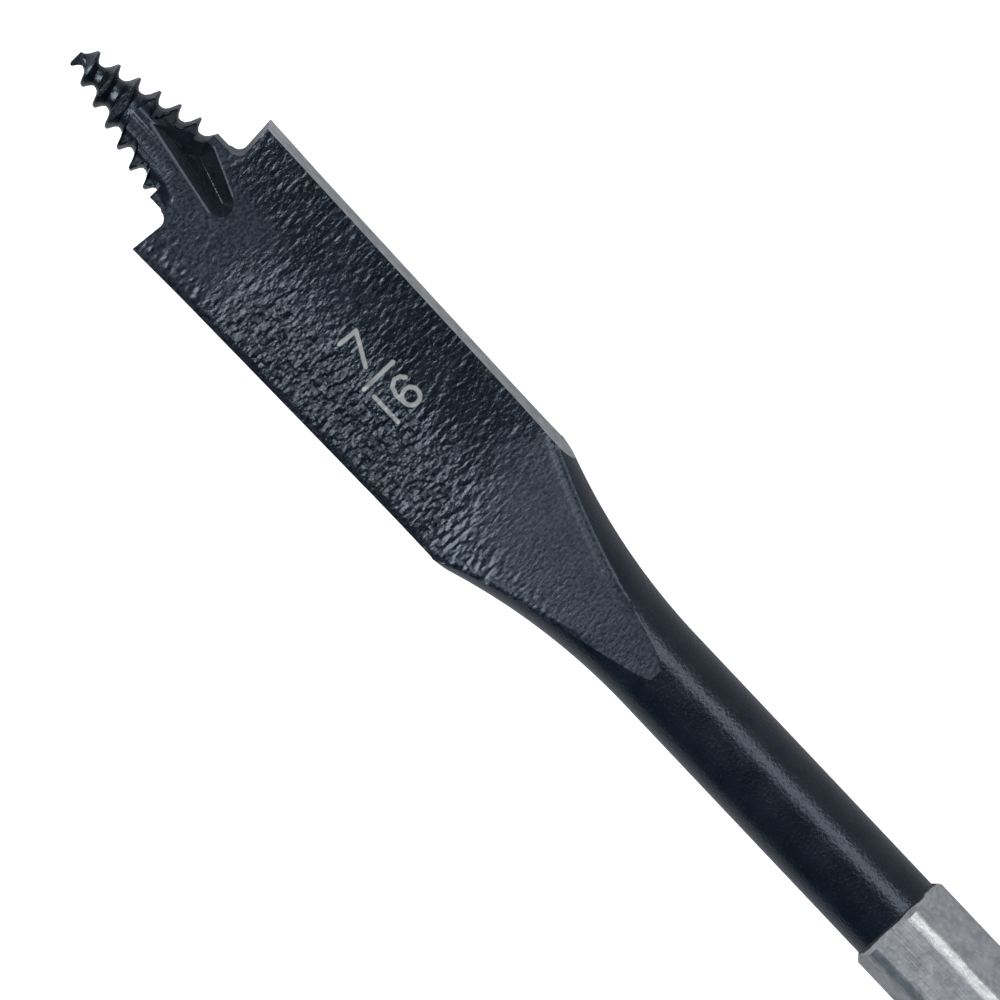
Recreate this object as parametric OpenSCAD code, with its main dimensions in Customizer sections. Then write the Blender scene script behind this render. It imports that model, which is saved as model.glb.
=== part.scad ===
// Spade drill bit with a screw point, forged and ground from one steel bar.
// Millimetres. The bar lies along X with the point at +X and a shank flat
// underneath. The origin is the middle of the shank's end face.

/* [Shank] */

// Width of the hexagonal shank across its flats
shank_af = 6.35; // [6.2:0.05:6.6]

// Diameter of the round bar left at the hexagon's corners
corner_d = 6.9; // [6.85:0.05:7.2]

// Length of the hexagonal shank
shank_len = 30.56; // [25:0.02:60]

// Length of the bevel turned on the corners at the shank's end
end_bevel = 0.9; // [0.5:0.1:1.4]

// Angle of the blade's face from the shank's flat
blade_turn = 6; // [-30:1:30]

/* [Neck] */

// Diameter of the round neck
neck_d = 6; // [5.4:0.05:6.15]

// Length of the round neck between the shank and the flare
neck_len = 20.4; // [14:0.1:60]

/* [Flare] */

// Radius of the curve that spreads the neck to the blade
flare_r = 40; // [30:1:60]

// Slope of the forged face between the neck and the blade
face_slope = 5.8; // [5:0.1:8]

// Distance the forged face runs back on the round neck
face_run = 0.3; // [0.2:0.05:1.5]

/* [Blade] */

// Cutting diameter, measured across the shoulders
blade_w = 11.11; // [9.6:0.01:16]

// Thickness of the blade
blade_t = 2.54; // [2:0.02:3.2]

// Length of the ground sides behind the shoulders
blade_len = 27.2; // [20:0.1:40]

// Angle by which each side draws in towards the neck
back_taper = 0.78; // [0.3:0.02:1]

// Clearance angle ground on the sides
side_relief = 4.6; // [2:0.1:8]

// Slope of each cutting shoulder, down from its outer corner
shoulder_slope = 4.5; // [0:0.5:10]

// Clearance angle ground on the shoulders
shoulder_relief = 5; // [3:0.5:12]

// Radius in the corner between a shoulder and the point
shoulder_fillet = 0.6; // [0.3:0.05:0.9]

/* [Point] */

// Length of the point in front of the shoulders
point_len = 10.7; // [9:0.1:14]

// Width of the plain foot of the point
foot_w = 5.5; // [5:0.05:6.2]

// Length of the plain foot in front of the shoulders
foot_len = 1.55; // [1.2:0.05:2.4]

// Diameter of the screw's core at the very tip
core_tip_d = 0.4; // [0.36:0.02:0.8]

// Growth of the core's radius for each millimetre of length
core_growth = 0.215; // [0.16:0.005:0.22]

// Pitch of the screw thread
thread_pitch = 1.41; // [1.2:0.01:1.6]

// Diameter over the thread's crest at the very tip
crest_tip_d = 1.66; // [1.4:0.02:1.8]

// Growth of the crest's radius for each millimetre of length
crest_growth = 0.242; // [0.22:0.002:0.26]

// Angle of the thread's first crest, from the left side when seen from above
thread_start = -14; // [-60:1:60]

/* [Flutes] */

// Distance the flutes run behind the shoulders
flute_run = 1.55; // [1:0.05:2.5]

// Distance from a flute's blind end to its deepest place
flute_plunge = 3; // [2:0.1:4]

// Distance from there to where a flute runs out on the screw
flute_exit = 3.2; // [2:0.1:4]

// Depth of a flute at its blind end
flute_depth = 0.75; // [0.5:0.05:0.9]

// Depth of a flute at its deepest place
flute_deepest = 1.1; // [0.9:0.05:1.2]

// Width of the flat along the bottom of a flute
flute_flat = 0.1; // [0.06:0.02:0.2]

// Sideways step of a flute's straight edge from the bar's middle, at its blind end
flute_step = 0.6; // [0.4:0.02:0.8]

// Angle of that edge from the bar's axis, seen from above
flute_skew = 10; // [6:1:14]

/* [Hidden] */

$fn = 96;

neck_r = neck_d / 2;
corner_r = corner_d / 2;
half_t = blade_t / 2;
half_w = blade_w / 2;
foot_y = foot_w / 2;

// Half width where the ground sides meet the flare, and the flare's length
rear_w = half_w - tan(back_taper) * blade_len;
flare_out = rear_w - half_t * tan(side_relief) - neck_r;
flare_len = sqrt(2 * flare_r * flare_out - flare_out * flare_out);

// Stations along the bar, from the shank's end face
x_flare = shank_len + neck_len;
x_blade = x_flare + flare_len;
x_plain = x_blade + blade_t;
x_shoulder = x_blade + blade_len;
x_foot = x_shoulder + foot_len;
x_tip = x_shoulder + point_len;

// The forged face leaves the neck at x_face and levels out at x_level
x_face = x_flare - face_run;
x_level = x_face + (neck_r - half_t) / tan(face_slope);

wide = 2 * blade_w;

// Hexagonal shank, with its corners turned off and both of its ends rounded down
module shank() {
    intersection() {
        rotate([0, 90, 0])
            rotate([0, 0, 30])
                cylinder(h = shank_len + neck_r, r = shank_af / sqrt(3), $fn = 6);
        translate([-1, 0, 0])
            rotate([0, 90, 0])
                cylinder(h = shank_len + neck_r, r = corner_r);
        union() {
            end_ball(0, shank_af / 2 - 0.35, end_bevel, corner_r);
            end_ball(shank_len, neck_r, shank_len + neck_r - corner_r, corner_r);
            translate([end_bevel + 0.5, 0, 0])
                rotate([0, 90, 0])
                    cylinder(h = shank_len + neck_r - corner_r - end_bevel - 1.1, r = shank_af);
        }
    }
}

// Ball on the bar's axis whose skin passes through radius r1 at x1 and r2 at x2
module end_ball(x1, r1, x2, r2) {
    c = (x2 * x2 + r2 * r2 - x1 * x1 - r1 * r1) / (2 * (x2 - x1));
    translate([c, 0, 0])
        rotate([0, 90, 0])
            sphere(r = sqrt((x1 - c) * (x1 - c) + r1 * r1));
}

// Round neck, rooted one diameter deep in the shank
module neck() {
    translate([shank_len - neck_d, 0, 0])
        rotate([0, 90, 0])
            cylinder(h = neck_len + neck_d, r = neck_r);
}

// One half of the flare: the round bar bent outwards, with the middle filled
module flare_half() {
    turn = asin((x_plain + 0.5 - x_flare) / flare_r);
    intersection() {
        translate([x_flare, flare_r + neck_r, 0])
            rotate([0, 0, -90])
                rotate_extrude(angle = turn)
                    flare_profile();
        translate([x_flare - 1, 0, -neck_d])
            cube([wide * 2, wide, 2 * neck_d]);
    }
}

// Section of that bent bar, at its distance from the centre of the bend
module flare_profile() {
    fill = neck_r - face_run / 2 * tan(face_slope);
    translate([flare_r + neck_r, 0])
        circle(r = neck_r);
    translate([flare_r + neck_r, -fill])
        square([blade_w, 2 * fill]);
}

// Plain bar from the flare to the foot of the point, before grinding
module bar() {
    translate([x_plain, -half_w - 1, -neck_r])
        cube([x_foot - x_plain, blade_w + 2, neck_d]);
}

// Half width between the ground sides, square to them, at station x
function ground_w(x) =
    (half_w - tan(back_taper) * (x_shoulder - x)) * cos(side_relief)
    - half_t * sin(side_relief);

// Space between the ground sides, tilted for their clearance
module ground_sides() {
    front = x_tip + 1;
    back = x_flare - 1;
    left = [[front, ground_w(front)], [back, ground_w(back)]];
    right = [[back, -ground_w(back)], [front, -ground_w(front)]];
    rotate([-side_relief, 0, 0])
        linear_extrude(height = wide, center = true)
            polygon(concat(left, right));
}

// Cutter for the left shoulder, with its rounded inner corner
module shoulder_cut() {
    f = shoulder_fillet;
    cy = foot_y + f;
    cx = x_shoulder - (half_w - cy) * tan(shoulder_slope) + f / cos(shoulder_slope);
    arc = [for (i = [0:10]) 270 - i * (90 + shoulder_slope) / 10];
    outline = concat(
        [[x_tip + 2, foot_y]],
        [for (a = arc) [cx + f * cos(a), cy + f * sin(a)]],
        [[x_shoulder + 2 * tan(shoulder_slope), half_w + 2], [x_tip + 2, half_w + 2]]
    );
    translate([x_shoulder, 0, half_t])
        rotate([0, shoulder_relief, 0])
            translate([-x_shoulder, 0, -wide / 2])
                linear_extrude(height = wide)
                    polygon(outline);
}

// Radius of the screw's core, and of its crest, at a distance from the tip
function core_r(s) = core_tip_d / 2 + core_growth * s;
function crest_r(s) = min(crest_tip_d / 2 + crest_growth * s, foot_y - 0.04);

// Profile of one thread: share of the pitch, and share of the thread's height
thread_shape = [[0, 0], [0.16, 0.06], [0.3, 0.36], [0.45, 1], [0.55, 1], [0.7, 0.36], [0.84, 0.06]];

// Tapered screw with a thread like a wood screw's, as one closed skin
module screw() {
    seg = 32;
    m = len(thread_shape);
    first = thread_pitch * (0.1 - 0.5);
    last = point_len - foot_len + 0.25;
    n = ceil((last - first) / thread_pitch * seg);
    pts = [for (i = [0:n]) for (j = [0:m - 1])
        let (s = first + thread_pitch * (i / seg + thread_shape[j][0]),
            r = core_r(s) + (crest_r(s) - core_r(s)) * thread_shape[j][1],
            a = thread_start - 360 * i / seg)
        [x_tip - s, r * cos(a), r * sin(a)]];
    tip = [x_tip - first - thread_pitch * 0.5, 0, 0];
    back = [x_tip - first - thread_pitch * (n / seg + 0.5), 0, 0];
    c0 = len(pts);
    c1 = c0 + 1;
    flanks = [for (i = [0:n - 1]) for (j = [0:m - 2]) each
        [[i * m + j, (i + 1) * m + j + 1, (i + 1) * m + j],
         [i * m + j, i * m + j + 1, (i + 1) * m + j + 1]]];
    roots = [for (i = [0:n - seg - 1]) each
        [[i * m + m - 1, (i + 1 + seg) * m, (i + 1) * m + m - 1],
         [i * m + m - 1, (i + seg) * m, (i + 1 + seg) * m]]];
    front = concat(
        [for (i = [0:seg - 1]) [c0, i * m, (i + 1) * m]],
        [for (j = [0:m - 2]) [c0, j + 1, j]],
        [[c0, seg * m, m - 1]]
    );
    rear = concat(
        [for (i = [n - seg:n - 1]) [c1, (i + 1) * m + m - 1, i * m + m - 1]],
        [for (j = [0:m - 2]) [c1, n * m + j, n * m + j + 1]],
        [[c1, (n - seg) * m + m - 1, n * m]]
    );
    polyhedron(points = concat(pts, [tip, back]), faces = concat(flanks, roots, front, rear));
}

// Room between the forged faces, ended by the cut at the tip
module forged_faces() {
    top = [
        [x_face - neck_d, neck_r + neck_d * tan(face_slope)],
        [x_level, half_t],
        [x_tip, half_t]
    ];
    bottom = [for (i = [2:-1:0]) [top[i][0], -top[i][1]]];
    rotate([90, 0, 0])
        linear_extrude(height = 2 * wide, center = true)
            polygon(concat(top, bottom));
}

// Groove ground along the right of the upper face: straight on its left edge, deepest
// in the middle and running out on the screw
module flute() {
    stops = [
        [0, flute_depth],
        [flute_plunge, flute_deepest],
        [flute_plunge + flute_exit, 0]
    ];
    translate([x_shoulder - flute_run, flute_step, half_t])
        rotate([0, 0, -flute_skew])
            hull()
                for (stop = stops)
                    translate([stop[0], -stop[1] - flute_flat / 2, -stop[1]])
                        flute_tool();
}

// Tapered grinding tool, with a small flat on its end
module flute_tool() {
    h = blade_t + 1;
    cylinder(h = h, r1 = flute_flat / 2, r2 = h + flute_flat / 2, $fn = 32);
}

// Blade, flare and point as they leave the forge and the grinder
module blade() {
    difference() {
        intersection() {
            union() {
                intersection() {
                    union() {
                        flare_half();
                        rotate([180, 0, 0])
                            flare_half();
                        bar();
                    }
                    ground_sides();
                }
                screw();
            }
            forged_faces();
        }
        shoulder_cut();
        rotate([180, 0, 0])
            shoulder_cut();
        flute();
        rotate([180, 0, 0])
            flute();
    }
}

module spade_bit() {
    color([0.1, 0.11, 0.13]) {
        shank();
        rotate([blade_turn, 0, 0]) {
            neck();
            blade();
        }
    }
}

spade_bit();
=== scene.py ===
import math

import bpy
from mathutils import Matrix, Vector


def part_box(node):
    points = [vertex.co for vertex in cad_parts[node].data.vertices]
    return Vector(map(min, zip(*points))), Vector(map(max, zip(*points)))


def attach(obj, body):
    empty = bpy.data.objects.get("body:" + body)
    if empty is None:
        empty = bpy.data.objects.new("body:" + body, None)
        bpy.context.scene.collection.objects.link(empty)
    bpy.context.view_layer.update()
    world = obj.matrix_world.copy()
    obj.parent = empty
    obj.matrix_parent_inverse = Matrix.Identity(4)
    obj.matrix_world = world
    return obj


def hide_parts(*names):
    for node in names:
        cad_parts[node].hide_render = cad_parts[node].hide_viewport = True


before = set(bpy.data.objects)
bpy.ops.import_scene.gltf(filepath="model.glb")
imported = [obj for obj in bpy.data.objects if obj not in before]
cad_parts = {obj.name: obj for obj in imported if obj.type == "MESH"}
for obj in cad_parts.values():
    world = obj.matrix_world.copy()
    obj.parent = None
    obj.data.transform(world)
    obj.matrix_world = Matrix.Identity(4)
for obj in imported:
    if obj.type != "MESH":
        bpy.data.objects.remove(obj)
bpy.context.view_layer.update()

# Bar stock. The bit is one bar of tool steel, forged flat at the front, turned at the neck
# and left hexagonal at the back, so it is one closed skin: a merged copy of the solid, with
# its flat sides put back together as whole faces.
merge_gap = 1e-6
level_angle = math.radians(0.2)
bpy.ops.object.select_all(action="DESELECT")
bit = bpy.data.objects.new("forged_bit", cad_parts["spade_bit"].data.copy())
bit.data.name = "forged_bit"
bit.data.materials.clear()
bpy.context.scene.collection.objects.link(bit)
bpy.context.view_layer.objects.active = bit
bit.select_set(True)
bpy.ops.mesh.customdata_custom_splitnormals_clear()
bpy.ops.object.mode_set(mode="EDIT")
bpy.ops.mesh.select_mode(type="FACE")
bpy.ops.mesh.select_all(action="SELECT")
bpy.ops.mesh.remove_doubles(threshold=merge_gap)
bpy.ops.mesh.dissolve_limited(angle_limit=level_angle)

# The blade stands turned on the bar, so places on it are read square to it and in
# millimetres: x along the bar to the point, y across the blade, z out of the upper face.
mm_per_m = 1000
blade_turn = math.radians(6)
to_blade = Matrix.Rotation(-blade_turn, 3, "X")
from_blade = to_blade.inverted()


def on_blade(point):
    return to_blade @ point * mm_per_m


# Flutes. Two grooves are ground into the steel beside the screw, one in each face, by a tapered
# wheel with a narrow flat nose. Ahead of the deepest place the real bottom is sharp, so the
# marks of the nose at the deepest place and at the run-out are each drawn to one point.
half_thick = 1.27
flute_x = 89.35
flute_edge = 0.6
flute_angle = math.radians(10)
flute_lean = math.tan(flute_angle)
flute_deepest = (3.0, 1.1)
flute_run_out = (6.2, 0.0)
nose_r = 0.05
nose_reach = nose_r * 1.5
noses = []
bpy.ops.mesh.select_mode(type="VERT")
for along, depth in (flute_deepest, flute_run_out):
    inward = depth + nose_r
    nose_x = flute_x + along * math.cos(flute_angle) - inward * math.sin(flute_angle)
    nose_y = flute_edge - along * math.sin(flute_angle) - inward * math.cos(flute_angle)
    for sign in (1, -1):
        nose = Vector((nose_x, nose_y * sign, (half_thick - depth) * sign))
        noses.append(nose)
        bpy.ops.mesh.select_all(action="DESELECT")
        bpy.ops.object.mode_set(mode="OBJECT")
        for vertex in bit.data.vertices:
            vertex.select = (on_blade(vertex.co) - nose).length < nose_reach
        bpy.ops.object.mode_set(mode="EDIT")
        bpy.ops.mesh.merge(type="CENTER")
bpy.ops.mesh.select_mode(type="FACE")

# Neck and flare. The round steel neck is turned from the bar and spreads into the blade in two
# long curves, with a spoon flat sloping down to the blade on each face. The curved skin gets
# more facets, laid back on the true curve, and wears a film of black oxide.
neck_r = 3.0
bend_x = 50.96
bend_r = 40.0
bend_arm = bend_r + neck_r
flare_start = 50.9
flare_end = 68
spoon_end = 67.69
spoon_slope = math.tan(math.radians(5.8))
flat_facing = 0.985
largest_facet = 40
past_bend = 0.01
under_spoon = 0.004
off_curve = 0.05


def pick_faces(wanted):
    bpy.ops.object.mode_set(mode="OBJECT")
    mesh = bit.data
    for part in (mesh.vertices, mesh.edges, mesh.polygons):
        part.foreach_set("select", [False] * len(part))
    for face in mesh.polygons:
        area = face.area * mm_per_m**2
        face.select = wanted(on_blade(face.center), to_blade @ face.normal, area)
    bpy.ops.object.mode_set(mode="EDIT")


def is_flare(p, n, area):
    return flare_start < p.x < flare_end and abs(n.z) < flat_facing and area < largest_facet


def spoon_height(x):
    return half_thick + max(0.0, spoon_end - x) * spoon_slope


pick_faces(is_flare)
bpy.ops.mesh.subdivide(number_cuts=2)
bpy.ops.object.mode_set(mode="OBJECT")
for vertex in bit.data.vertices:
    p = on_blade(vertex.co)
    if bend_x + past_bend < p.x < flare_end and abs(p.z) < spoon_height(p.x) - under_spoon:
        sign = 1 if p.y > 0 else -1
        out = Vector((p.x - bend_x, p.y * sign - bend_arm))
        tube = Vector((out.length - bend_arm, p.z))
        if out.length < bend_arm and abs(tube.length - neck_r) < off_curve:
            tube = tube.normalized() * neck_r
            out = out.normalized() * (bend_arm + tube.x)
            p = Vector((bend_x + out.x, (out.y + bend_arm) * sign, tube.y))
            vertex.co = from_blade @ p / mm_per_m


def add(tree, kind, **settings):
    node = tree.nodes.new(kind)
    for key, value in settings.items():
        setattr(node, key, value)
    return node


def put(tree, node, name, value):
    socket = node.inputs[name]
    if isinstance(value, bpy.types.NodeSocket):
        tree.links.new(value, socket)
    else:
        socket.default_value = value


def maths(tree, operation, a, b=0.0, c=0.0, clamp=False):
    node = add(tree, "ShaderNodeMath", operation=operation, use_clamp=clamp)
    for i, value in enumerate((a, b, c)):
        put(tree, node, i, value)
    return node.outputs[0]


def blend(tree, share, a, b):
    node = add(tree, "ShaderNodeMix", data_type="RGBA")
    put(tree, node, 0, share)
    put(tree, node, 6, a)
    put(tree, node, 7, b)
    return node.outputs[2]


def spread(tree, value, low, high, to_low=0.0, to_high=1.0):
    node = add(tree, "ShaderNodeMapRange", interpolation_type="SMOOTHSTEP")
    put(tree, node, "Value", value)
    put(tree, node, "From Min", low)
    put(tree, node, "From Max", high)
    put(tree, node, "To Min", to_low)
    put(tree, node, "To Max", to_high)
    return node.outputs["Result"]


def cloud(tree, place, scale, detail, stretch=(1, 1, 1)):
    mapped = add(tree, "ShaderNodeMapping")
    put(tree, mapped, "Vector", place)
    put(tree, mapped, "Scale", stretch)
    noise = add(tree, "ShaderNodeTexNoise")
    put(tree, noise, "Vector", mapped.outputs[0])
    put(tree, noise, "Scale", scale)
    put(tree, noise, "Detail", detail)
    return noise.outputs["Fac"]


def emboss(tree, shader, height, strength, depth):
    bump = add(tree, "ShaderNodeBump")
    put(tree, bump, "Strength", strength)
    put(tree, bump, "Distance", depth)
    put(tree, bump, "Height", height)
    put(tree, shader, "Normal", bump.outputs[0])


def blade_place(tree):
    where = add(tree, "ShaderNodeTexCoord")
    mapped = add(tree, "ShaderNodeMapping")
    put(tree, mapped, "Vector", where.outputs["Object"])
    put(tree, mapped, "Rotation", (-blade_turn, 0, 0))
    put(tree, mapped, "Scale", (mm_per_m, mm_per_m, mm_per_m))
    return mapped.outputs[0]


def new_group(name, inputs, outputs):
    group = bpy.data.node_groups.new(name, "ShaderNodeTree")
    for label, kind in inputs:
        group.interface.new_socket(label, in_out="INPUT", socket_type=kind)
    for label, kind in outputs:
        group.interface.new_socket(label, in_out="OUTPUT", socket_type=kind)
    return group, add(group, "NodeGroupInput"), add(group, "NodeGroupOutput")


def new_finish(name):
    finish = bpy.data.materials.new(name)
    finish.use_nodes = True
    bit.data.materials.append(finish)
    return finish.node_tree, finish.node_tree.nodes["Principled BSDF"]


# The film is a thin blue-black skin, uneven in depth, with a fine satin grain.
film_dark = (0.003, 0.004, 0.006, 1)
film_light = (0.006, 0.0078, 0.011, 1)
film_speck = (0.014, 0.0165, 0.02, 1)
film_tint = (0.71, 0.84, 1.0, 1)
film_grain = 5.0
film, film_in, film_out = new_group(
    "oxide_film",
    [("Place", "NodeSocketVector"), ("Grain", "NodeSocketFloat")],
    [("Color", "NodeSocketColor"), ("Roughness", "NodeSocketFloat"), ("Height", "NodeSocketFloat")],
)
film_depth = cloud(film, film_in.outputs["Place"], scale=0.45, detail=4)
speck = cloud(film, film_in.outputs["Place"], scale=film_in.outputs["Grain"], detail=3)
film_colour = blend(film, spread(film, film_depth, 0.35, 0.68), film_dark, film_light)
film_colour = blend(film, spread(film, speck, 0.58, 0.75, to_high=0.5), film_colour, film_speck)
film_rough = maths(film, "MULTIPLY_ADD", film_depth, 0.1, 0.15)
film_rough = maths(film, "MULTIPLY_ADD", speck, 0.14, film_rough)
put(film, film_out, "Color", film_colour)
put(film, film_out, "Roughness", film_rough)
put(film, film_out, "Height", speck)


def oxide_skin(tree, shader, place):
    shader.inputs["Specular Tint"].default_value = film_tint
    skin = add(tree, "ShaderNodeGroup", node_tree=film)
    put(tree, skin, "Place", place)
    put(tree, skin, "Grain", film_grain)
    return skin


tree, shader = new_finish("turned_black_oxide")
skin = oxide_skin(tree, shader, blade_place(tree))
put(tree, shader, "Base Color", skin.outputs["Color"])
put(tree, shader, "Roughness", skin.outputs["Roughness"])
emboss(tree, shader, skin.outputs["Height"], strength=0.6, depth=0.00005)

# Forged faces. The hammer leaves both sides of the blade and the two spoon flats behind it
# covered in small ridges that run across the bar, with pits and scale between them. The
# faces are cut into a fine net, closest along the bar, and the ridges are raised in it.
smallest_forged = 50
net_x = 50.7
net_step_x = 0.1
net_cuts_x = 418
net_y = -5.36
net_step_y = 0.16
net_cuts_y = 68
cut_gap = 1e-7
blade_across = from_blade @ Vector((0, 1, 0))
pick_faces(lambda p, n, area: abs(n.z) > flat_facing and area > smallest_forged)
bpy.ops.mesh.hide(unselected=True)
for i in range(net_cuts_x):
    along = (net_x + net_step_x * i) / mm_per_m
    bpy.ops.mesh.select_all(action="SELECT")
    bpy.ops.mesh.bisect(plane_co=(along, 0, 0), plane_no=(1, 0, 0), threshold=cut_gap)
for i in range(net_cuts_y):
    across = from_blade @ Vector((0, net_y + net_step_y * i, 0)) / mm_per_m
    bpy.ops.mesh.select_all(action="SELECT")
    bpy.ops.mesh.bisect(plane_co=across, plane_no=blade_across, threshold=cut_gap)
bpy.ops.mesh.select_all(action="SELECT")
bpy.ops.object.mode_set(mode="OBJECT")
forged = {v for face in bit.data.polygons if face.select for v in face.vertices}
bpy.ops.object.mode_set(mode="EDIT")
bpy.ops.mesh.region_to_loop()
bpy.ops.object.mode_set(mode="OBJECT")
inner = forged - {v.index for v in bit.data.vertices if v.select}
bpy.ops.object.mode_set(mode="EDIT")
bpy.ops.mesh.reveal(select=False)
bpy.ops.object.mode_set(mode="OBJECT")

# Places on the faces, in millimetres: where each form of the hammered skin starts and ends.
x_shoulder = 90.9
half_width = 5.555
taper = math.tan(math.radians(0.78))
pebbles_from_to = (-1.5, 2.5)
pressed_x = (81.5, 86.5)
pressed_y = (-2.6, -0.8)
pressed_edge = (3.6, 5)
spoon_x = (69, 63)
spoon_y = (1.5, 3.5)
plain_edge = (0.46, 0.66)
plain_foot = (89.5, 92.5)
lip_start = (54, 57)
lip_stop = (67, 65)
lip_inward = 0.3
lip_width = 0.2
rolled_start = 58
rolled_fade = (x_shoulder + 0.5, 86.0)
rolled_width = 0.56
thread_x = 95.0
thread_edge = 0.61
thread_lean = 0.29
fall_start = 91.0
fall_left = (91.3, 91.5)
fall_left_width = 0.9
fall_right = (92.46, 92.5)
fall_right_width = 0.5
crease_reach = 2.6
crease_fill = spoon_slope * crease_reach / 4
land_start = 89
land_end = x_shoulder + 0.6
land_side = (-2.7, -3.2)
least_share = 0.001


def ramp(low, high, value):
    t = min(max((value - low) / (high - low), 0.0), 1.0)
    return t * t * (3 - 2 * t)


# The lower face is the upper one after half a turn, so its left and right change places.
def across_face(p):
    return p.y if p.z > 0 else -p.y


def inside_edge(p):
    return half_width - taper * (x_shoulder - p.x) - across_face(p)


# The grain is pebbled on one side and drawn into streaks on the other, pressed smooth toward
# the point and on the spoon flats, and it leaves the rolled edge and the screw's foot plain.
def rough_share(p):
    side = across_face(p)
    pressed = ramp(*pressed_x, p.x) * ramp(*pressed_y, side) * (1 - 0.5 * ramp(*pressed_edge, side))
    spoon = ramp(*spoon_x, p.x) * (1 - 0.5 * ramp(*spoon_y, side))
    share = ramp(*plain_edge, inside_edge(p)) * (1 - 0.9 * pressed) * (1 - 0.94 * spoon)
    return share * (1 - ramp(*plain_foot, p.x))


def pebbled_share(p):
    return rough_share(p) * (0.12 + 0.88 * ramp(*pebbles_from_to, across_face(p)))


def streaky_share(p):
    return rough_share(p) * (0.8 * (1 - ramp(*pebbles_from_to, across_face(p))))


# The hammer pushes up a low lip just inside the long edges of a spoon flat.
def lip_share(p):
    if not lip_start[0] < p.x < lip_stop[0]:
        return 0.0
    arm = bend_arm - math.sqrt(neck_r**2 - spoon_height(p.x) ** 2)
    half = bend_arm - math.sqrt(arm**2 - (p.x - bend_x) ** 2)
    off_lip = (half - abs(p.y) - lip_inward) / lip_width
    return math.exp(-(off_lip**2)) * ramp(*lip_start, p.x) * ramp(*lip_stop, p.x)


# One long edge of each face is rolled over where the steel flowed out of the die.
def rolled_share(p):
    if not rolled_start <= p.x <= x_shoulder:
        return 0.0
    return ramp(*rolled_fade, p.x) * max(0.0, 1 - max(inside_edge(p), 0.0) / rolled_width)


# On the screw each face falls away to the thread, left of a slanting line and right of the flute.
def fall_share(p):
    if p.x < fall_start:
        return 0.0
    side = across_face(p)
    left = side - thread_edge - thread_lean * (thread_x - p.x)
    right = flute_edge - flute_lean * (p.x - flute_x) - side
    if left > 0:
        return min(left / fall_left_width, 1.0) * ramp(*fall_left, p.x)
    return min(max(right, 0.0) / fall_right_width, 1.0) * ramp(*fall_right, p.x)


# The crease between a spoon flat and the blade is filled to a round.
def crease_share(p):
    return max(0.0, 1 - abs(p.x - spoon_end) / crease_reach) ** 2


# The edge of one shoulder is ground back a little from the other.
def land_share(p):
    if not land_start <= p.x <= land_end:
        return 0.0
    return ramp(land_start, x_shoulder, p.x) * ramp(*land_side, across_face(p))


def weigh(name, points, share):
    group = bit.vertex_groups.new(name=name)
    for index in points:
        amount = share(on_blade(bit.data.vertices[index].co))
        if amount > least_share:
            group.add([index], min(amount, 1.0), "REPLACE")


def press(place, height, **settings):
    relief = bit.modifiers.new(place, "DISPLACE")
    relief.vertex_group = place
    relief.strength = height / mm_per_m
    for key, value in settings.items():
        setattr(relief, key, value)
    bpy.ops.object.modifier_apply(modifier=relief.name)


# Each form stands once on either face, with its height in millimetres.
forms = (
    ("rolled", forged, rolled_share, -0.24),
    ("fall", forged, fall_share, -0.45),
    ("crease", forged, crease_share, crease_fill),
    ("lip", inner, lip_share, 0.09),
)
weigh("pebbled", inner, pebbled_share)
weigh("streaky", inner, streaky_share)
weigh("land", forged, land_share)
for name, points, share, height in forms:
    weigh(name + "_top", points, lambda p: share(p) if p.z > 0 else 0.0)
    weigh(name + "_bottom", points, lambda p: share(p) if p.z < 0 else 0.0)

# Each grain has its size along and across the bar in metres, and its height in millimetres.
grain_skew = math.radians(6)
grains = (
    ("ridge", "pebbled", (0.00025, 0.00033, 0.00033), 0.36),
    ("streak", "streaky", (0.0002, 0.0006, 0.0006), 0.06),
    ("lump", "pebbled", (0.0009, 0.0012, 0.0012), 0.16),
)
for name, place, size, height in grains:
    grain = bpy.data.textures.new("forge_" + name, "CLOUDS")
    grain.noise_scale = 1.0
    grain.noise_depth = 1
    gauge = bpy.data.objects.new("forge_" + name, None)
    gauge.scale = size
    gauge.rotation_euler = (blade_turn, 0, grain_skew)
    bpy.context.scene.collection.objects.link(gauge)
    bpy.context.view_layer.update()
    press(
        place, height, mid_level=0.5,
        texture=grain, texture_coords="OBJECT", texture_coords_object=gauge,
    )
    bpy.data.objects.remove(gauge)
for name, points, share, height in forms:
    press(name + "_top", height, mid_level=0.0, direction="Z")
    press(name + "_bottom", -height, mid_level=0.0, direction="Z")
press("land", -0.17, mid_level=0.0, direction="X")


def vector(tree, operation, a, b=None, scale=None):
    node = add(tree, "ShaderNodeVectorMath", operation=operation)
    put(tree, node, 0, a)
    if b is not None:
        put(tree, node, 1, b)
    if scale is not None:
        put(tree, node, "Scale", scale)
    return node


# A stroke gives the distance of a place from a straight line between two points.
stroke, stroke_in, stroke_out = new_group(
    "mark_stroke",
    [("Place", "NodeSocketVector"), ("From", "NodeSocketVector"), ("To", "NodeSocketVector")],
    [("Distance", "NodeSocketFloat")],
)
reach = vector(stroke, "SUBTRACT", stroke_in.outputs["Place"], stroke_in.outputs["From"]).outputs[0]
run = vector(stroke, "SUBTRACT", stroke_in.outputs["To"], stroke_in.outputs["From"]).outputs[0]
reach_on_run = vector(stroke, "DOT_PRODUCT", reach, run).outputs["Value"]
run_on_run = vector(stroke, "DOT_PRODUCT", run, run).outputs["Value"]
part_way = maths(stroke, "DIVIDE", reach_on_run, run_on_run, clamp=True)
foot = vector(stroke, "SCALE", run, scale=part_way).outputs[0]
off_line = vector(stroke, "SUBTRACT", reach, foot).outputs[0]
put(stroke, stroke_out, "Distance", vector(stroke, "LENGTH", off_line).outputs["Value"])


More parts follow.
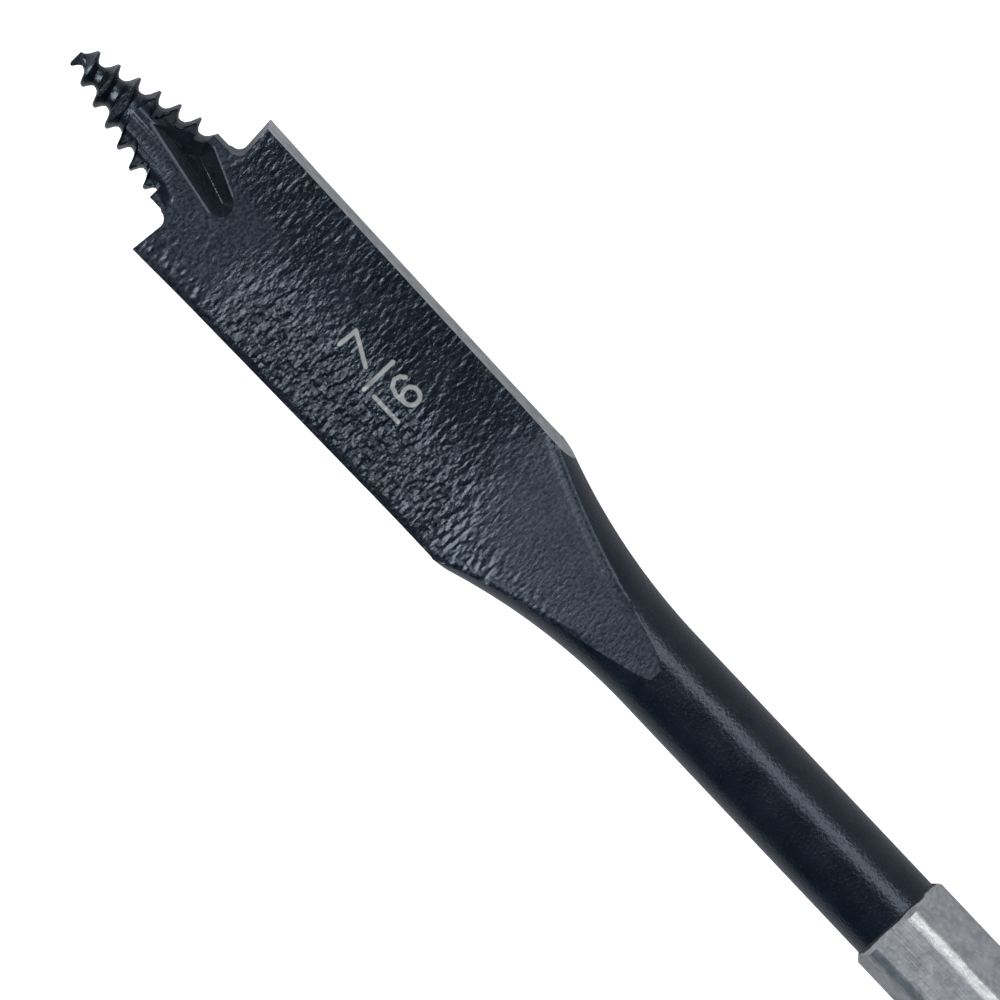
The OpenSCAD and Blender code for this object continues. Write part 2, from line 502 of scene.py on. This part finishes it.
def stroke_distance(tree, place, start, stop):
    line = add(tree, "ShaderNodeGroup", node_tree=stroke)
    put(tree, line, "Place", place)
    put(tree, line, "From", (*start, 0))
    put(tree, line, "To", (*stop, 0))
    return line.outputs[0]


# The hammered faces wear the same film, greyer in patches where scale clings and lighter toward
# one long edge of each face as painted light. A painted shade darkens the sunk pits of the bump and
# the screw where the face falls to the thread, and a painted highlight lightens the ridges of the
# bump and the flute's edges. They are satin where pressed smooth, with the finest grain as bump.
scale_and_light_grey = (0.011, 0.0125, 0.015, 1)
ridge_highlight_grey = (0.022, 0.025, 0.029, 1)
pit_shade_black = (0.0015, 0.0021, 0.0036, 1)
satin_dark = (0.002, 0.0035, 0.006, 1)
satin_light = (0.016, 0.02, 0.0265, 1)
thread_shade_black = (0.003, 0.004, 0.0065, 1)
painted_edge_highlight = (0.07, 0.074, 0.08, 1)
most_satin = 0.78
most_shade = 0.9
tree, shader = new_finish("forged_black_oxide")
place = blade_place(tree)
skin = oxide_skin(tree, shader, place)
ridge = cloud(tree, place, scale=1.0, detail=4, stretch=(5.0, 2.0, 2.0))
pits = cloud(tree, place, scale=4.6, detail=2)
patches = cloud(tree, place, scale=0.55, detail=4, stretch=(0.7, 1.0, 1.0))
axes = add(tree, "ShaderNodeSeparateXYZ")
put(tree, axes, 0, place)
along = axes.outputs["X"]
side = maths(tree, "MULTIPLY", axes.outputs["Y"], maths(tree, "SIGN", axes.outputs["Z"]))

# Greyer in patches of clinging scale, and lighter toward one long edge of each face: that lift is
# painted light.
scale_and_lit_side = spread(tree, maths(tree, "MULTIPLY_ADD", patches, 5.0, side), 2.2, 6.4)
scale_and_lit_side = maths(tree, "MULTIPLY", scale_and_lit_side, spread(tree, along, 60.0, 68.0, 0.35, 1.0))
smooth_x = spread(tree, along, 82.5, 87.5)
smooth_y = spread(tree, side, -2.6, -0.8, to_high=most_satin)
smooth = maths(tree, "MULTIPLY", smooth_x, smooth_y)
smooth = maths(tree, "MAXIMUM", smooth, spread(tree, along, 89.5, 91.5, to_high=most_satin))
smooth = maths(tree, "MAXIMUM", smooth, spread(tree, along, 71.0, 62.0, to_high=most_satin))
colour = blend(tree, maths(tree, "MULTIPLY", scale_and_lit_side, 0.7), skin.outputs["Color"], scale_and_light_grey)
# Painted highlight: lighter grey on the raised ridges of the bump.
colour = blend(tree, spread(tree, ridge, 0.52, 0.72, to_high=0.4), colour, ridge_highlight_grey)
# Painted shade: near black in the sunk pits of the bump.
colour = blend(tree, spread(tree, pits, 0.5, 0.36, to_high=0.85), colour, pit_shade_black)
satin = blend(tree, spread(tree, pits, 0.42, 0.58), satin_dark, satin_light)
colour = blend(tree, maths(tree, "MULTIPLY", smooth, 0.9), colour, satin)

# Painted shade: the face is coloured near black left of the slanting line and right of the flute on
# the screw, where it falls away to the thread.
thread_line = thread_edge + thread_lean * thread_x
shade_left_of_thread = maths(tree, "MULTIPLY_ADD", along, thread_lean, side)
shade_left_of_thread = spread(tree, shade_left_of_thread, thread_line, thread_line + 0.15)
shade_left_of_thread_x = spread(tree, along, 91.2, 92.0, to_high=most_shade)
shade_left_of_thread = maths(tree, "MULTIPLY", shade_left_of_thread, shade_left_of_thread_x)
flute_line = flute_edge + flute_lean * flute_x
shade_right_of_flute = maths(tree, "MULTIPLY_ADD", along, -flute_lean, flute_line)
shade_right_of_flute = spread(tree, maths(tree, "SUBTRACT", shade_right_of_flute, side), 0.05, 0.2)
shade_right_of_flute_x = spread(tree, along, 92.4, 92.5, to_high=most_shade)
shade_right_of_flute = maths(tree, "MULTIPLY", shade_right_of_flute, shade_right_of_flute_x)
colour = blend(tree, maths(tree, "MAXIMUM", shade_left_of_thread, shade_right_of_flute), colour, thread_shade_black)

twin = add(tree, "ShaderNodeCombineXYZ")
put(tree, twin, "X", along)
put(tree, twin, "Y", side)
# Painted highlight: light steel grey along the flute's two top edges, as if they caught the light.
left_edge = stroke_distance(tree, twin.outputs[0], (95.5, -0.48), (89.35, 0.6))
right_edge = stroke_distance(tree, twin.outputs[0], (91.9, -2.19), (89.1, -1.0))
edge_highlight_reach = maths(tree, "MINIMUM", left_edge, right_edge)
edge_highlight_reach = maths(tree, "MULTIPLY_ADD", pits, 0.08, edge_highlight_reach)
colour = blend(tree, spread(tree, edge_highlight_reach, 0.2, 0.11, to_high=0.85), colour, painted_edge_highlight)

# The size mark is burnt through the film to grey metal, on the upper face alone: a seven, the
# bar of the fraction, a one, and a six with a bent tail and a round bowl.
burnt_dark = (0.18, 0.18, 0.174, 1)
burnt_light = (0.26, 0.26, 0.25, 1)
mark_ragged = 0.09
mark_rim = (0.17, 0.12)
bowl_centre = (73.08, -0.58, 0)
bowl_r = 0.54
mark_strokes = (
    ((78.26, 0.42), (78.17, -0.88)),
    ((78.17, -0.88), (76.20, 0.20)),
    ((75.30, 1.21), (75.30, -1.20)),
    ((74.55, 1.06), (72.49, 1.06)),
    ((73.15, -0.03), (73.75, 0.04)),
    ((73.75, 0.04), (74.25, -0.15)),
    ((74.25, -0.15), (74.49, -0.54)),
    ((74.49, -0.54), (74.37, -0.90)),
    ((74.37, -0.90), (74.12, -1.10)),
)
flat = add(tree, "ShaderNodeCombineXYZ")
put(tree, flat, "X", along)
put(tree, flat, "Y", axes.outputs["Y"])
bowl = vector(tree, "DISTANCE", flat.outputs[0], bowl_centre).outputs["Value"]
nearest = maths(tree, "ABSOLUTE", maths(tree, "SUBTRACT", bowl, bowl_r))
for start, stop in mark_strokes:
    nearest = maths(tree, "MINIMUM", nearest, stroke_distance(tree, flat.outputs[0], start, stop))
nearest = maths(tree, "SUBTRACT", nearest, mark_ragged / 2)
ragged = maths(tree, "MULTIPLY_ADD", pits, mark_ragged, nearest)
upper = maths(tree, "GREATER_THAN", axes.outputs["Z"], 0.0)
mark = maths(tree, "MULTIPLY", spread(tree, ragged, *mark_rim), upper)
burnt = blend(tree, pits, burnt_dark, burnt_light)
put(tree, shader, "Base Color", blend(tree, mark, colour, burnt))

rough = maths(tree, "SUBTRACT", skin.outputs["Roughness"], 0.05)
rough = maths(tree, "MULTIPLY_ADD", smooth, 0.12, rough)
put(tree, shader, "Roughness", maths(tree, "MULTIPLY_ADD", mark, 0.2, rough))
level = maths(tree, "MAXIMUM", smooth, maths(tree, "MULTIPLY", mark, 0.9))
relief = maths(tree, "SUBTRACT", 1.0, level)
relief = maths(tree, "MULTIPLY", relief, spread(tree, side, -2.5, 2.5, 0.42, 1.15))
height = maths(tree, "MULTIPLY_ADD", pits, 0.6, ridge)
emboss(tree, shader, maths(tree, "MULTIPLY", height, relief), strength=1.0, depth=0.00009)

# Ground sides and shoulders. The two long sides of the blade and its two cutting shoulders are
# ground to size after blackening, which bares the steel. The wheel leaves fine lines along the
# sides, and handling a faint stain.
ground_dark = (0.33, 0.33, 0.325, 1)
ground_light = (0.47, 0.47, 0.46, 1)
side_start = 62
side_edge = 4.9
side_facing = 0.99
shoulder_start = 90.0
shoulder_edge = 2.8
shoulder_facing = 0.6
ground_end = 91.6
tree, shader = new_finish("ground_steel")
shader.inputs["Metallic"].default_value = 0.75
place = blade_place(tree)
lines = cloud(tree, place, scale=3.0, detail=4, stretch=(0.4, 4.0, 6.0))
stain = cloud(tree, place, scale=1.4, detail=3)
colour = blend(tree, spread(tree, stain, 0.3, 0.75), ground_dark, ground_light)
put(tree, shader, "Base Color", colour)
put(tree, shader, "Roughness", maths(tree, "MULTIPLY_ADD", lines, 0.25, 0.36))
emboss(tree, shader, lines, strength=0.3, depth=0.00002)


def is_ground(p, n):
    if side_start < p.x < ground_end and abs(n.y) > side_facing and abs(p.y) > side_edge:
        return True
    return shoulder_start < p.x < ground_end and n.x > shoulder_facing and abs(p.y) > shoulder_edge


# Hex shank. The back of the bar keeps its drawn hexagon for the jaws of the chuck. It is bright
# mottled steel with faint lines along it, and the black film of the neck ends at its front in a
# slightly uneven line.
hex_end = 30.57
hex_dark = (0.36, 0.36, 0.355, 1)
hex_light = (0.5, 0.5, 0.49, 1)
hex_bright = (0.62, 0.62, 0.61, 1)
hex_covered = (0.002, 0.003, 0.005, 1)
film_ends = (30.6, 30.68)
tree, shader = new_finish("bare_hex_steel")
place = blade_place(tree)
lines = cloud(tree, place, scale=2.0, detail=4, stretch=(0.25, 5.0, 5.0))
stain = cloud(tree, place, scale=0.9, detail=4)
mottle = cloud(tree, place, scale=2.6, detail=4)
axes = add(tree, "ShaderNodeSeparateXYZ")
put(tree, axes, 0, place)
film_edge = maths(tree, "MULTIPLY_ADD", stain, 0.5, axes.outputs["X"])
covered = spread(tree, film_edge, *film_ends)
bare = blend(tree, spread(tree, stain, 0.3, 0.7), hex_dark, hex_light)
bare = blend(tree, spread(tree, mottle, 0.45, 0.65, to_high=0.5), bare, hex_bright)
put(tree, shader, "Base Color", blend(tree, covered, bare, hex_covered))
put(tree, shader, "Metallic", maths(tree, "SUBTRACT", 1.0, covered))
put(tree, shader, "Roughness", maths(tree, "MULTIPLY_ADD", lines, 0.22, 0.36))
emboss(tree, shader, maths(tree, "ADD", lines, mottle), strength=0.4, depth=0.00003)

# Whole bit. The finished steel is one skin with crisp edges and sharp flute bottoms, and each
# face has the finish that forging, turning or grinding left on it. The skin rides on the one
# body of the part and stands for its solid.
crisp_angle = math.radians(26)
forged_start = 50.5
bpy.ops.object.shade_smooth_by_angle(angle=crisp_angle)
for edge in bit.data.edges:
    for v in edge.vertices:
        p = on_blade(bit.data.vertices[v].co)
        if any((p.xy - nose.xy).length < nose_r and p.z * nose.z > 0 for nose in noses):
            edge.use_edge_sharp = True
even = bit.modifiers.new("even", "WEIGHTED_NORMAL")
even.keep_sharp = True
bpy.ops.object.modifier_apply(modifier=even.name)

finishes = {finish.name: i for i, finish in enumerate(bit.data.materials)}
for face in bit.data.polygons:
    p = on_blade(face.center)
    if p.x < hex_end:
        left_as = "bare_hex_steel"
    elif p.x > forged_start and forged.issuperset(face.vertices):
        left_as = "forged_black_oxide"
    elif is_ground(p, to_blade @ face.normal):
        left_as = "ground_steel"
    else:
        left_as = "turned_black_oxide"
    face.material_index = finishes[left_as]

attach(bit, "root")
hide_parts("spade_bit")

# Studio floor. A sweep of matt white paper lies under the bit, lit to plain white for the lens,
# and it is seen through from below.
floor_gap = 0.00002
paper_grey = (0.38, 0.39, 0.41, 1)
white = (1, 1, 1, 1)
floor_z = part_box("spade_bit")[0].z - floor_gap
bpy.ops.object.select_all(action="DESELECT")
bpy.ops.mesh.primitive_plane_add(size=4, location=(0.05, 0, floor_z))
floor = bpy.context.active_object
floor.name = "floor"
paper = bpy.data.materials.new("white_paper")
paper.use_nodes = True
tree = paper.node_tree
shader = tree.nodes["Principled BSDF"]
shader.inputs["Base Color"].default_value = paper_grey
shader.inputs["Roughness"].default_value = 0.9
shader.inputs["Emission Color"].default_value = white
put(tree, shader, "Emission Strength", add(tree, "ShaderNodeLightPath").outputs["Is Camera Ray"])
seen_from_below = add(tree, "ShaderNodeNewGeometry").outputs["Backfacing"]
put(tree, shader, "Alpha", maths(tree, "SUBTRACT", 1.0, seen_from_below))
floor.data.materials.append(paper)

# Studio lamps. A long soft box to the right of the lens draws the stripe down the neck, one on
# the left beyond the point lights the blade, and a weak one far to the right lifts its edge.
# Round them hangs a dim blue room, white to the lens.
tip_way = Vector((1, 0, 0))
lens_tilt = math.radians(14)
lens_way = Vector((0, -math.sin(lens_tilt), math.cos(lens_tilt)))
right_way = tip_way.cross(lens_way)
aim = Vector((0.06492, 0, 0))
room_blue = (0.026, 0.062, 0.12, 1)


def softbox(name, angle, distance, length, width, power, beyond=0.0):
    lamp = bpy.data.lights.new(name, "AREA")
    lamp.shape = "RECTANGLE"
    lamp.size = length
    lamp.size_y = width
    lamp.energy = power
    turn = math.radians(angle)
    way = lens_way * math.cos(turn) + right_way * math.sin(turn)
    way = (way + tip_way * beyond).normalized()
    lengthwise = (tip_way - way * tip_way.dot(way)).normalized()
    facing = Matrix((lengthwise, way.cross(lengthwise), way)).transposed()
    box = bpy.data.objects.new(name, lamp)
    box.matrix_world = Matrix.Translation(aim + way * distance) @ facing.to_4x4()
    bpy.context.scene.collection.objects.link(box)


softbox("stripe_box", angle=30, distance=0.6, length=0.7, width=0.22, power=2.0)
softbox("tip_box", angle=-22, distance=0.5, length=0.3, width=0.35, power=3.4, beyond=0.78)
softbox("right_box", angle=62, distance=0.6, length=0.7, width=0.3, power=0.24)

world = bpy.data.worlds.new("studio")
bpy.context.scene.world = world
world.use_nodes = True
tree = world.node_tree
to_lens = add(tree, "ShaderNodeLightPath").outputs["Is Camera Ray"]
put(tree, tree.nodes["Background"], "Color", blend(tree, to_lens, room_blue, white))

# Camera. A long lens, square to the bar and swung a little to the right of the blade's face,
# with the bar lying across the picture from the upper left to the lower right.
lens_distance = 0.7
view_width = 0.05977
sensor = 36
roll_tip = 0.6873
roll_right = 0.7275
lens = bpy.data.cameras.new("camera")
lens.sensor_width = sensor
lens.lens = sensor * lens_distance / view_width
lens.clip_start = 0.01
camera = bpy.data.objects.new("camera", lens)
image_right = tip_way * -roll_tip + right_way * roll_right
image_up = tip_way * roll_right + right_way * roll_tip
facing = Matrix((image_right, image_up, lens_way)).transposed()
camera.matrix_world = Matrix.Translation(aim + lens_way * lens_distance) @ facing.to_4x4()
bpy.context.scene.collection.objects.link(camera)
bpy.context.scene.camera = camera
bpy.context.scene.view_settings.view_transform = "Standard"
